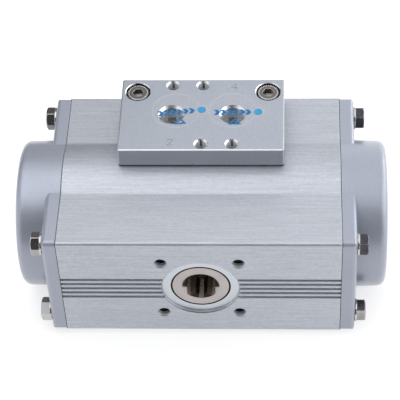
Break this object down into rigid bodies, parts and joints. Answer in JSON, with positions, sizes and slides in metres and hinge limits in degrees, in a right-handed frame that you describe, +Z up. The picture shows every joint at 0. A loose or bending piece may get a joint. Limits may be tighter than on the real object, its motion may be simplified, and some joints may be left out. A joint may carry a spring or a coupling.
{
  "type": "rotary pneumatic actuator",
  "caption": "Quarter-turn rack-and-pinion pneumatic actuator: ribbed extruded housing, round end caps, flat air plate on top and a star socket that drives a valve stem.",
  "frame": {"origin": "centre of the valve face, on the pinion axis", "axes": "+X along the piston bore, -Y out of the valve face along the pinion axis, +Z up to the air plate"},
  "size_m": [0.144, 0.098, 0.0676],
  "materials": {
    "housing_metal": "brushed",
    "cap_metal": "satin",
    "plate_metal": "matte",
    "fastener_steel": "satin",
    "shaft_steel": "satin",
    "piston_metal": "satin",
    "seal_rubber": "matte",
    "bearing_plastic": "matte"
  },
  "bodies": {
    "actuator_body": {"housing": "housing_metal", "left_end_cap": "cap_metal", "right_end_cap": "cap_metal", "left_cap_gasket": "seal_rubber", "right_cap_gasket": "seal_rubber", "left_cap_screws": "fastener_steel", "right_cap_screws": "fastener_steel", "left_cap_washers": "fastener_steel", "right_cap_washers": "fastener_steel", "air_plate": "plate_metal", "air_plate_gasket": "seal_rubber", "air_plate_screws": "fastener_steel", "inner_thrust_washer": "bearing_plastic", "outer_thrust_washer": "bearing_plastic"},
    "pinion": {"pinion_shaft": "shaft_steel", "front_bearing_ring": "bearing_plastic", "front_shaft_oring": "seal_rubber", "back_bearing_ring": "bearing_plastic", "back_shaft_oring": "seal_rubber", "retaining_ring": "fastener_steel"},
    "left_piston_set": {"left_piston": "piston_metal", "left_piston_oring": "seal_rubber", "left_guide_ring": "bearing_plastic", "left_rack_pad": "bearing_plastic"},
    "right_piston_set": {"right_piston": "piston_metal", "right_piston_oring": "seal_rubber", "right_guide_ring": "bearing_plastic", "right_rack_pad": "bearing_plastic"}
  },
  "joints": [
    {"name": "pinion_turn", "type": "hinge", "parent": "actuator_body", "child": "pinion", "pos_m": [0, 0.039, 0], "axis": [0, 1, 0], "range_deg": [0, 90]},
    {"name": "right_piston_slide", "type": "slide", "parent": "actuator_body", "child": "right_piston_set", "axis": [1, 0, 0], "range_m": [0, 0.01571]},
    {"name": "left_piston_slide", "type": "slide", "parent": "actuator_body", "child": "left_piston_set", "axis": [-1, 0, 0], "range_m": [0, 0.0158]}
  ],
  "couplings": [
    {"joint": "pinion_turn", "follows": "right_piston_slide", "rad_per_m": 100},
    {"joint": "left_piston_slide", "follows": "right_piston_slide", "ratio": 1}
  ]
}
